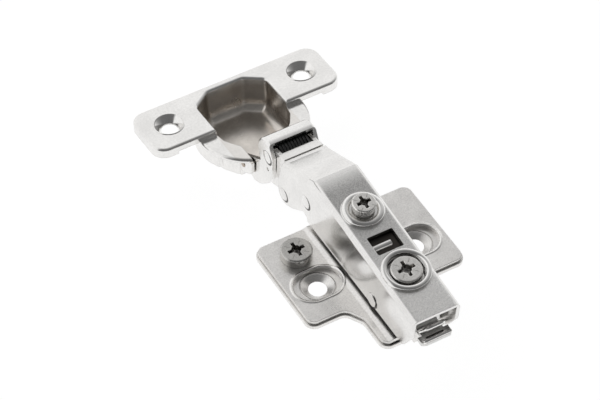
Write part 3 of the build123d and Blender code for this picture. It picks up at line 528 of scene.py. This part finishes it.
def ringed_plate(place):
    """The pressed rings round the plate's screw holes: ridges, smoother and with a painted
    highlight.
    """
    hole = place.along("X").maths("ABSOLUTE") - HOLE_AT
    along = place.along("Y")
    past = (hole.maths("ABSOLUTE") - WINDOW_TRAVEL).maths("MAXIMUM", 0.0)
    long_span = (past * past + along * along).maths("SQRT")
    round_span = (hole * hole + along * along).maths("SQRT")
    ring = ridge(long_span, RIM_R, RIM_HALF).maths(
        "MAXIMUM", ridge(round_span, DISH_RIM_R, DISH_RIM_HALF)
    )
    # painted highlight: the ring's top is a lighter colour
    colour = grey(PLATE_COLOUR, RIM_PAINTED_HIGHLIGHT)
    return {
        "cover": ring * RIM_COVER,
        "colour": colour,
        "rougher": RIM_ROUGHER,
        "height": ring * RIM_HEIGHT,
    }


plate_nickel = finish(
    "plate_nickel", PLATE_COLOUR, rough=0.30, grain_size=0.00020, grain=0.10, cloud=0.07,
    extra=ringed_plate, edge=ROLLED_EDGE,
)
dress("lower_plate", plate_nickel)
dress("upper_plate", plate_nickel)
print("plate dressed; rings of radius", 1000 * RIM_R, "and", 1000 * DISH_RIM_R, "mm")

# %% [markdown]
# ## Channels and latch
# The channels under the arm are the same nickel, painted a little darker as the arm's shade.
# Through the window between the two screws they show nearly black, because no light gets under
# the arm there, and the latch's finger tab has a slot that shows black too. Both are painted
# shade: boxes in which the colour is that of a gap.

# %% Dress the channels and the latch
WINDOW_MIDDLE = -0.0089
WINDOW_DARK = (0.0060, 0.0045)
SLOT_HALF = 0.0028
SLOT_SPAN = (-0.0364, -0.0354)
DARK_ROUGHER = 0.2
CHANNEL_PAINTED_SHADE = 0.8
LEVER_METAL = 0.7


def sight_dark(place):
    """The unlit part of the channels below the arm's window."""
    across = place.along("X").maths("ABSOLUTE")
    along = (place.along("Y") - WINDOW_MIDDLE).maths("ABSOLUTE")
    cover = (across < WINDOW_DARK[0]) * (along < WINDOW_DARK[1])
    return {"cover": cover, "colour": GAP_SHADE_COLOUR, "rougher": DARK_ROUGHER}


def lever_slot_shade(place):
    """Painted shade of the slot through the finger tab, which shows dark."""
    across = place.along("X").maths("ABSOLUTE")
    along = place.along("Y")
    # painted shade: a dark box where the slot shows
    cover = (across < SLOT_HALF) * (along > SLOT_SPAN[0]) * (along < SLOT_SPAN[1])
    return {"cover": cover, "colour": GAP_SHADE_COLOUR, "rougher": DARK_ROUGHER}


# painted shade: the channels are the arm's nickel made darker
channel_nickel = finish(
    "channel_nickel", grey(ARM_COLOUR, CHANNEL_PAINTED_SHADE)[:3], rough=0.26, grain_size=0.00030,
    grain=0.06, extra=sight_dark,
)
lever_nickel = finish(
    "lever_nickel", CUP_COLOUR, rough=0.30, grain_size=0.00030, grain=0.04,
    extra=lever_slot_shade, metal=LEVER_METAL,
)
dress("depth_slide", channel_nickel)
dress("clip_base", channel_nickel)
dress("latch_lever", lever_nickel)
print("channels and latch dressed")

# %% [markdown]
# ## Screws with a cross recess
# The three adjusting screws are turned zinc, greyer than the sheet, with a cross recess and
# four short marks between its arms. The marks are only scratches deep, so they are a band of
# bump: a point is on a mark where its two distances across the screw are nearly equal. Light
# hardly reaches the recess's floor, so everything below the head's face and near the axis is
# darker.

# %% Dress the screws
SCREW_COLOUR = (0.52, 0.51, 0.49)
ARM_SCREW_COLOUR = (0.80, 0.785, 0.76)
SCREW_EDGE = 0.0004
MARK_HALF = 0.00016
MARK_FROM = 0.0015
MARK_TO = 0.0026
MARK_SHADE = 0.55
MARK_COVER = 0.6
MARK_ROUGHER = 0.1
MARK_HEIGHT = -1.0
RECESS_R = 0.0020
RECESS_SHALLOW = 0.0002
RECESS_DARK = 0.62


def box_middle(node):
    """The middle of a part's box, which the axis of a screw or a pin runs through."""
    low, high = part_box(node)
    return (low + high) / 2


def head_top(node, normal):
    """How far up its axis a screw reaches."""
    return max(Vector(normal).dot(corner.co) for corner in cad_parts[node].data.vertices)


def head_masks(node, along, normal):
    """The four marks and the darker recess of one screw, in the plane of its head."""
    middle = box_middle(node)
    top = head_top(node, normal)

    def masks(place):
        moved = place.minus(middle)
        across = moved.dot((1, 0, 0)).maths("ABSOLUTE")
        length = moved.dot(along).maths("ABSOLUTE")
        reach = across.maths("MAXIMUM", length)
        mark = ((across - length).maths("ABSOLUTE") < MARK_HALF) * (reach > MARK_FROM)
        mark = mark * (reach < MARK_TO)
        near_axis = across * across + length * length < RECESS_R * RECESS_R
        recess = (place.dot(normal) < top - RECESS_SHALLOW) * near_axis
        return {
            "cover": mark * MARK_COVER,
            "colour": grey(SCREW_COLOUR, MARK_SHADE),
            "rougher": MARK_ROUGHER,
            "height": mark * MARK_HEIGHT,
            "dark": recess * RECESS_DARK,
        }

    return masks


for node, along, normal, zinc_colour in (
    ("side_screw", along_arm, arm_normal, ARM_SCREW_COLOUR),
    ("depth_cam_screw", along_arm, arm_normal, ARM_SCREW_COLOUR),
    ("height_cam_screw", (0, 1, 0), (0, 0, 1), SCREW_COLOUR),
):
    zinc = finish(
        node + "_zinc", zinc_colour, rough=0.24, grain_size=0.00025, grain=0.08,
        extra=head_masks(node, along, normal), edge=SCREW_EDGE,
    )
    dress(node, zinc)
    print(node, "reaches", round(1000 * head_top(node, normal), 2), "mm up its axis")

# %% [markdown]
# ## Rivets and pins
# A rivet's end is pressed into a low dome with a round edge. It catches light on one side and
# goes dark on the other, which a flat disc can't do, so each pin is turned again with domed
# ends and stands in for the plain one. The short stubs and the cup's pins hardly show, so they
# only get a finish; the cup's pins get a dark brown that is painted shade.

# %% Turn the rivets
DOME = 0.00022
RIVET_EDGE = 0.0001
rivet_nickel = finish("rivet_nickel", CUP_COLOUR, rough=0.20, grain_size=0.00025, grain=0.05)
# painted shade: the cup's pins are a dark brown
pin_bronzed = finish("pin_bronzed", (0.42, 0.35, 0.29), rough=0.32, grain_size=0.00025, grain=0.10)


def dome(end, radius, way):
    """Crown: end - dome * share squared, radius inner * share. Corner: a quarter circle."""
    inner = radius - RIVET_EDGE
    crown = [(end - way * DOME * s * s, inner * s) for s in np.linspace(0, 1, 6)]
    base = end - way * (DOME + RIVET_EDGE)
    corner = [
        (base + way * RIVET_EDGE * math.cos(a), inner + RIVET_EDGE * math.sin(a))
        for a in np.radians(np.linspace(0, 90, 6))
    ]
    return crown + corner


def rivet(node, shank_r, face):
    """Turns a pin of a shank and two domed heads, each from a face out to the pin's end."""
    low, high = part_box(node)
    head_r = (high.z - low.z) / 2
    left = dome(-high.x, head_r, -1) + [(-face, head_r), (-face, shank_r)]
    right = dome(high.x, head_r, 1) + [(face, head_r), (face, shank_r)]
    centre = (0, (low.y + high.y) / 2, (low.z + high.z) / 2)
    return turned(node + "_riveted", left + right[::-1], centre, (1, 0, 0))


arm_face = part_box("arm_body")[1].x
link_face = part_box("outer_link")[1].x
for node, shank_r, face in (
    ("front_pin", 0.0015, link_face),
    ("inner_link_pin", 0.0013, arm_face),
    ("guide_pin", 0.0015, arm_face),
):
    piece = rivet(node, shank_r, face)
    piece.data.materials.append(rivet_nickel)
    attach(piece, "arm")
    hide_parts(node)
for node in ("tilt_pins", "front_hook_pin", "latch_pin"):
    dress(node, rivet_nickel)
for node in ("cup_outer_rivets", "cup_inner_pin"):
    dress(node, pin_bronzed)
print("rivets turned; faces at", round(1000 * arm_face, 2), "and", round(1000 * link_face, 2), "mm")

# %% [markdown]
# ## Wound springs
# A spring is a round wire along a helix with straight legs. A screw modifier could wind it,
# but the legs have to leave the coil along its tangent, so the centre line is worked out
# first, leg, turns, leg, and a circle of points is carried along it.

# %% Carry a wire along a path
WIRE_STEPS = 12
TURN_STEPS = 40
LEG_STEPS = 8


def wire(name, path, radius, across=(1.0, 0.0, 0.0)):
    """A tube round a path: path + radius * (cos * normal + sin * binormal), with closed ends."""
    tangent = np.gradient(path, axis=0)
    tangent /= np.linalg.norm(tangent, axis=1)[:, None]
    normal = np.cross(tangent, across)
    normal /= np.linalg.norm(normal, axis=1)[:, None]
    binormal = np.cross(tangent, normal)
    angle = np.linspace(0, 2 * np.pi, WIRE_STEPS, endpoint=False)
    ring = (
        np.cos(angle)[None, :, None] * normal[:, None]
        + np.sin(angle)[None, :, None] * binormal[:, None]
    )
    tube = path[:, None] + radius * ring
    ends = [np.repeat(path[i][None, None], WIRE_STEPS, axis=1) for i in (0, -1)]
    return surface(name, np.concatenate([ends[0], tube, ends[1]]))


def coil_path(centre, radius, pitch, turns, start, legs):
    """Leg, helix about the x axis, leg; the legs are straight and follow the helix's ends."""
    angle = math.radians(start) + np.linspace(0, 2 * np.pi * turns, int(TURN_STEPS * turns))
    across = (np.linspace(0, 1, len(angle)) - 0.5) * pitch * turns
    helix = np.stack(
        [across, centre[1] + radius * np.cos(angle), centre[2] + radius * np.sin(angle)], axis=1
    )
    first = helix[0] - helix[1]
    last = helix[-1] - helix[-2]
    first *= legs[0] / np.linalg.norm(first)
    last *= legs[1] / np.linalg.norm(last)
    out = np.linspace(0.1, 1, LEG_STEPS)[:, None]
    parts = [helix, helix[-1] + last * out]
    if legs[0] > 0:
        parts.insert(0, helix[0] + first * out[::-1])
    return np.concatenate(parts)


# %% [markdown]
# The closing spring lies round the front pin with one leg under the arm, and the latch's
# spring lies round the latch pin with a leg at each end. Both are blackened wire.

# %% Wind the springs
spring_black = finish("spring_black", (0.09, 0.09, 0.09), rough=0.34, grain_size=0.0002, grain=0.10)


def wind(name, pin, node, body, wire_r, **coil):
    """Winds a spring round the middle of a pin, in place of the plain one."""
    piece = wire(name, coil_path(box_middle(pin), **coil), wire_r)
    piece.data.materials.append(spring_black)
    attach(piece, body)
    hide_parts(node)
    print(name, "turns:", round(coil["turns"], 2), "wire in mm:", 2000 * wire_r)


wind(
    "closing_spring_wound", "front_pin", "torsion_spring", "arm", wire_r=0.00045,
    radius=0.0035, pitch=0.000965, turns=9.5, start=-69, legs=(0.0, 0.0055),
)
wind(
    "latch_spring_wound", "latch_pin", "latch_spring", "latch", wire_r=0.00025,
    radius=0.0014, pitch=0.0006, turns=3 + 70 / 360, start=260, legs=(0.0025, 0.0031),
)

# %% [markdown]
# ## The side screw's thread
# The screw stands four millimetres out of the arm, and its fine thread shows under the head.
# The radius of a thread is a wave that climbs with the angle: one grid of angle and height,
# whose radius is the shank's plus the wave, gives a true helical groove.

# %% Cut the thread
THREAD_PITCH = 0.0005
THREAD_DEPTH = 0.00016
THREAD_LIFT = 0.35
THREAD_STEPS = 64
THREAD_ROWS = 12
THREAD_CORE = 0.9
SHANK_R = 0.00315


def thread(name, low, high):
    """Radius = shank + depth * (lift + half a triangle wave of height / pitch - angle / turn)."""
    rows = int((high - low) / THREAD_PITCH * THREAD_ROWS)
    height = np.linspace(low, high, rows)[:, None]
    angle = np.linspace(0, 2 * np.pi, THREAD_STEPS, endpoint=False)[None]
    phase = (height / THREAD_PITCH - angle / (2 * np.pi)) % 1.0
    wave = 1 - 2 * np.abs(2 * phase - 1)
    radius = SHANK_R + THREAD_DEPTH * (wave * 0.5 + THREAD_LIFT)
    side = np.array((1.0, 0.0, 0.0))
    other = np.cross(arm_normal, side)
    ring = np.cos(angle)[..., None] * side + np.sin(angle)[..., None] * other
    tube = side_at + height[..., None] * arm_normal + radius[..., None] * ring
    inner = [side_at + h * arm_normal + THREAD_CORE * SHANK_R * ring for h in (low, high)]
    return surface(name, np.concatenate([inner[0], tube, inner[1]]), round_rows=True)


thread_zinc = finish("thread_zinc", SCREW_COLOUR, rough=0.28, grain_size=0.0002, grain=0.06)
piece = thread("side_screw_thread", 0.0007, 0.00288)
piece.data.materials.append(thread_zinc)
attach(piece, "side_adjuster")
print("thread of pitch", 1000 * THREAD_PITCH, "mm cut")

# %% [markdown]
# ## Pressed rings and the tongue in the window
# The press raises a round bead about each screw of the arm. It is polished by the die, so it
# shows as a ring that is bright on one side and dark on the other, and the ring is what tells
# the eye that the sheet is thin. A half circle turned round the screw's axis gives it. In the
# window between the screws a bent tongue of the slide crosses the dark opening. It is a short
# bar with rounded ends, which is turned too.

# %% Raise the rings and lay the tongue
BOSS_H = 0.0006
TONGUE_R = 0.0012
TONGUE_HALF = 0.0032
TONGUE_DEEP = 0.0021
TONGUE_AT = WINDOW_MIDDLE + 0.0002
TONGUE_LEFT = 0.0008
ring_nickel = finish("ring_nickel", CUP_COLOUR, rough=0.13, grain_size=0.00030, grain=0.03)


def bead(name, at, middle_r, half_width, height):
    """A closed half circle: lift = boss + height * sin(a), radius = middle + half width * cos(a)."""
    turn = np.radians(np.linspace(0, 180, 13))
    outline = [(BOSS_H + height * math.sin(a), middle_r + half_width * math.cos(a)) for a in turn]
    outline += [(0.0, middle_r - half_width), (0.0, middle_r + half_width)]
    piece = turned(name, outline, at, arm_normal, ring_shaped=True)
    piece.data.materials.append(ring_nickel)
    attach(piece, "arm")
    print(name, "radius in mm:", 1000 * middle_r)


def bar(name, at, half, radius, chamfer):
    """A bar across the hinge: out to half each way, with its ends tapered over the chamfer."""
    ends = [(half, 0.0), (half, 0.6 * radius), (half - chamfer, radius)]
    return turned(name, [(-x, r) for x, r in ends] + ends[::-1], at, (1, 0, 0))


bead("side_screw_bead", side_at, middle_r=0.0050, half_width=0.0011, height=0.00085)
bead("depth_screw_bead", depth_at, middle_r=0.0063, half_width=0.0008, height=0.00060)
tongue_at = arm_top(TONGUE_AT) - TONGUE_DEEP * arm_normal - np.array((TONGUE_LEFT, 0, 0))
tongue = bar("sight_tongue", tongue_at, TONGUE_HALF, TONGUE_R, 0.0004)
tongue.data.materials.append(ring_nickel)
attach(tongue, "slide")

# %% [markdown]
# ## The curled end of the latch
# The rear end of the arm is open, and the latch lever's curled edge shows inside it as a
# bright bar that stands on the lever, above a lip that a finger pulls. Both are bent sheet
# with rolled edges, so a round section carried along a U gives the curl, and a short turned
# bar gives the lip.

# %% Curl the latch
CURL_R = 0.00070
CURL_HALF = 0.0029
CURL_LENGTH = 0.0044
CURL_CORNER = 0.0013
CURL_LEAN = math.radians(35.8)
LIP_R = 0.00065
LIP_HALF = 0.0045
curl_foot = np.array((0, -0.0330, 0.0088))
curl_rise = np.array((0, -math.sin(CURL_LEAN), math.cos(CURL_LEAN)))
across = np.array((1.0, 0.0, 0.0))
lip_at = (0, -0.0371, 0.0092)


def curl_path():
    """A U that leans back: foot + x * across + rise * up, with quarter circles at its corners."""
    turn = np.radians(np.linspace(0, 90, 9))
    inner = CURL_HALF - CURL_CORNER
    top = CURL_LENGTH - CURL_CORNER
    left = [(-CURL_HALF, top * share) for share in (0.0, 0.35, 0.7)]
    left += [(-inner - CURL_CORNER * math.cos(a), top + CURL_CORNER * math.sin(a)) for a in turn]
    left += [(-inner * share, CURL_LENGTH) for share in (0.66, 0.33)]
    outline = left + [(0.0, CURL_LENGTH)] + [(-x, rise) for x, rise in reversed(left)]
    return np.array([curl_foot + x * across + rise * curl_rise for x, rise in outline])


curl = wire("latch_curl", curl_path(), CURL_R, np.cross(across, curl_rise))
lip = bar("latch_lip", lip_at, LIP_HALF, LIP_R, 0.0003)
for piece in (curl, lip):
    piece.data.materials.append(ring_nickel)
    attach(piece, "latch")
print("curl and lip on the latch")

# %% [markdown]
# ## Bright dishes of the wings
# The wing's screw holes are drawn and then coined, which leaves a fine raised rim and a
# polished funnel that bulges a little. The rim's light ring is what is seen first. Both are
# one outline turned round the hole's axis and laid into the plain cone of the solid part.

# %% Draw the dishes
DISH_R = 0.00435
DISH_DEEP = 0.00205
DISH_SLOPE = 0.8685
DISH_LIFT = 0.00005
DISH_BULGE = 0.00014
RIM_OUT = 0.0047
RIM_RAISE = 0.00014


def dish(name, x):
    """Rim: half an ellipse. Funnel: radius = dish - slope * depth - bulge * sin(pi * share)."""
    middle = (RIM_OUT + DISH_R) / 2
    half = RIM_OUT - middle
    turn = np.radians(np.linspace(0, 180, 9))
    outline = [(RIM_RAISE * math.sin(a) + DISH_LIFT, middle + half * math.cos(a)) for a in turn]
    for share in np.linspace(0.04, 1, 12):
        depth = share * DISH_DEEP
        bulge = DISH_BULGE * math.sin(math.pi * share)
        outline.append((-depth, DISH_R - DISH_SLOPE * depth - DISH_LIFT - bulge))
    foot = DISH_R - DISH_SLOPE * DISH_DEEP
    outline += [(-DISH_DEEP, foot + DISH_LIFT), (-DISH_LIFT, DISH_R + DISH_LIFT)]
    outline += [(-DISH_LIFT, RIM_OUT)]
    piece = turned(name, outline, cup_at + np.array((x, 0, 0)), cup_up, ring_shaped=True)
    piece.data.materials.append(ring_nickel)
    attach(piece, "cup")
    print(name, "at", 1000 * x, "mm across")


dish("left_wing_dish", -0.0225)
dish("right_wing_dish", 0.0225)

# %% [markdown]
# ## Floor
# The hinge is shown on white. A white table would come out grey in its own shade, so for the
# camera and for the metal's reflections most of the floor's light is its own, and the rest is
# lit, which keeps a faint shadow under the hinge. The arm can tilt the cup almost 2 mm lower
# than it stands here, so the floor lies a little below the cup.

# %% Lay the floor
FLOOR_HALF = 3.0
FLOOR_ROOM = 0.0022
FLOOR_GLOW = 0.80
FLOOR_LIGHT = 1.16
WHITE = (1, 1, 1, 1)
floor_height = cad_low.z - FLOOR_ROOM
corners = [(-FLOOR_HALF, -FLOOR_HALF), (FLOOR_HALF, -FLOOR_HALF), (FLOOR_HALF, FLOOR_HALF),
           (-FLOOR_HALF, FLOOR_HALF)]
floor_mesh = bpy.data.meshes.new("floor")
floor_mesh.from_pydata([(x, y, floor_height) for x, y in corners], [], [(0, 1, 2, 3)])
floor = bpy.data.objects.new("floor", floor_mesh)
bpy.context.scene.collection.objects.link(floor)
floor_white = bpy.data.materials.new("floor_white")
floor_white.use_nodes = True
floor_white.node_tree.nodes.clear()
start = Wired(floor_white.node_tree)
lit = start.node("ShaderNodeBsdfDiffuse", {}, {"Color": (0.9, 0.9, 0.9, 1)})
glow = start.node("ShaderNodeEmission", {}, {"Color": WHITE, "Strength": FLOOR_LIGHT})
camera_ray = start.node("ShaderNodeLightPath", output="Is Camera Ray")
glossy_ray = start.node("ShaderNodeLightPath", output="Is Glossy Ray")
seen = (camera_ray + glossy_ray).maths("MINIMUM", 1.0) * FLOOR_GLOW
mixed = start.node("ShaderNodeMixShader", {}, {0: seen, 1: lit, 2: glow})
start.node("ShaderNodeOutputMaterial", {}, {"Surface": mixed})
floor_mesh.materials.append(floor_white)
print("floor at", round(1000 * floor_height, 2), "mm")

# %% [markdown]
# ## Light
# Bright metal has no colour of its own: it shows the room. Product photographers put a large
# white wall behind the piece and leave the near side dim, so faces that lean towards the wall
# are white and those that face away from it are grey. The world does the same here, with a
# brightness that depends on how far a direction points towards the wall, and a soft bright
# window on the left, which is what the slopes beside the arm reflect.

# %% Light the studio
WALL_AZIMUTH = math.radians(30.925)
ROOM = [(0.0, 0.14), (0.42, 0.17), (0.62, 0.29), (0.72, 0.42), (0.83, 0.66), (0.90, 0.98)]
WINDOW_SIDE = (-0.6, 0.8, 0.0)
WINDOW_EDGE = (0.27, 0.52)
to_wall = (math.sin(WALL_AZIMUTH), math.cos(WALL_AZIMUTH), 0.0)
world = bpy.data.worlds.new("studio")
bpy.context.scene.world = world
world.use_nodes = True
world.node_tree.nodes.clear()
start = Wired(world.node_tree)
direction = start.node("ShaderNodeTexCoord", output="Generated")
share = direction.dot(to_wall) * 0.5 + 0.5
level = share.node("ShaderNodeValToRGB", {"stops": ROOM}, {"Fac": share}, "Color")
window = direction.dot(WINDOW_SIDE).ramp(*WINDOW_EDGE)
level = blend(window, level, WHITE)
room = start.node("ShaderNodeBackground", {}, {"Color": level, "Strength": 1.0})
backdrop = start.node("ShaderNodeBackground", {}, {"Color": WHITE, "Strength": 1.0})
camera_ray = start.node("ShaderNodeLightPath", output="Is Camera Ray")
mixed = start.node("ShaderNodeMixShader", {}, {0: camera_ray, 1: room, 2: backdrop})
start.node("ShaderNodeOutputWorld", {}, {"Surface": mixed})
print("studio lit; the wall stands at", round(math.degrees(WALL_AZIMUTH), 1), "degrees")

# %% [markdown]
# ## Camera
# The picture was taken with a long lens from the left rear, straight towards the wall and
# down by about 48 degrees. A camera's matrix has its right, its up and its backward direction
# as columns, and the small roll turns the first two in their plane.

# %% Place the camera
FOCAL_PIXELS = 2796.13
PICTURE_WIDTH = 600
SENSOR = 36.0
AZIMUTH = WALL_AZIMUTH
ELEVATION = math.radians(48.132)
ROLL = math.radians(1.095)
CAMERA_PLACE = Vector((-0.280235, -0.430521, 0.600955))
forward = Vector(
    (
        math.sin(AZIMUTH) * math.cos(ELEVATION),
        math.cos(AZIMUTH) * math.cos(ELEVATION),
        -math.sin(ELEVATION),
    )
)
level_right = Vector((math.cos(AZIMUTH), -math.sin(AZIMUTH), 0))
level_up = level_right.cross(forward)
right = math.cos(ROLL) * level_right + math.sin(ROLL) * level_up
up = -math.sin(ROLL) * level_right + math.cos(ROLL) * level_up
lens = bpy.data.cameras.new("camera")
lens.sensor_fit = "HORIZONTAL"
lens.sensor_width = SENSOR
lens.lens = FOCAL_PIXELS / PICTURE_WIDTH * SENSOR
lens.clip_start = 0.01
lens.clip_end = 20
camera = bpy.data.objects.new("camera", lens)
bpy.context.scene.collection.objects.link(camera)
turn = Matrix((right, up, -forward)).transposed().to_4x4()
camera.matrix_world = Matrix.Translation(CAMERA_PLACE) @ turn
bpy.context.scene.camera = camera
bpy.context.scene.view_settings.view_transform = "Standard"
print("lens in mm:", round(lens.lens, 1))

# %% [markdown]
# ## Update
# The view layer is updated once more after all the pieces are added.

# %% Update the view layer
bpy.context.view_layer.update()
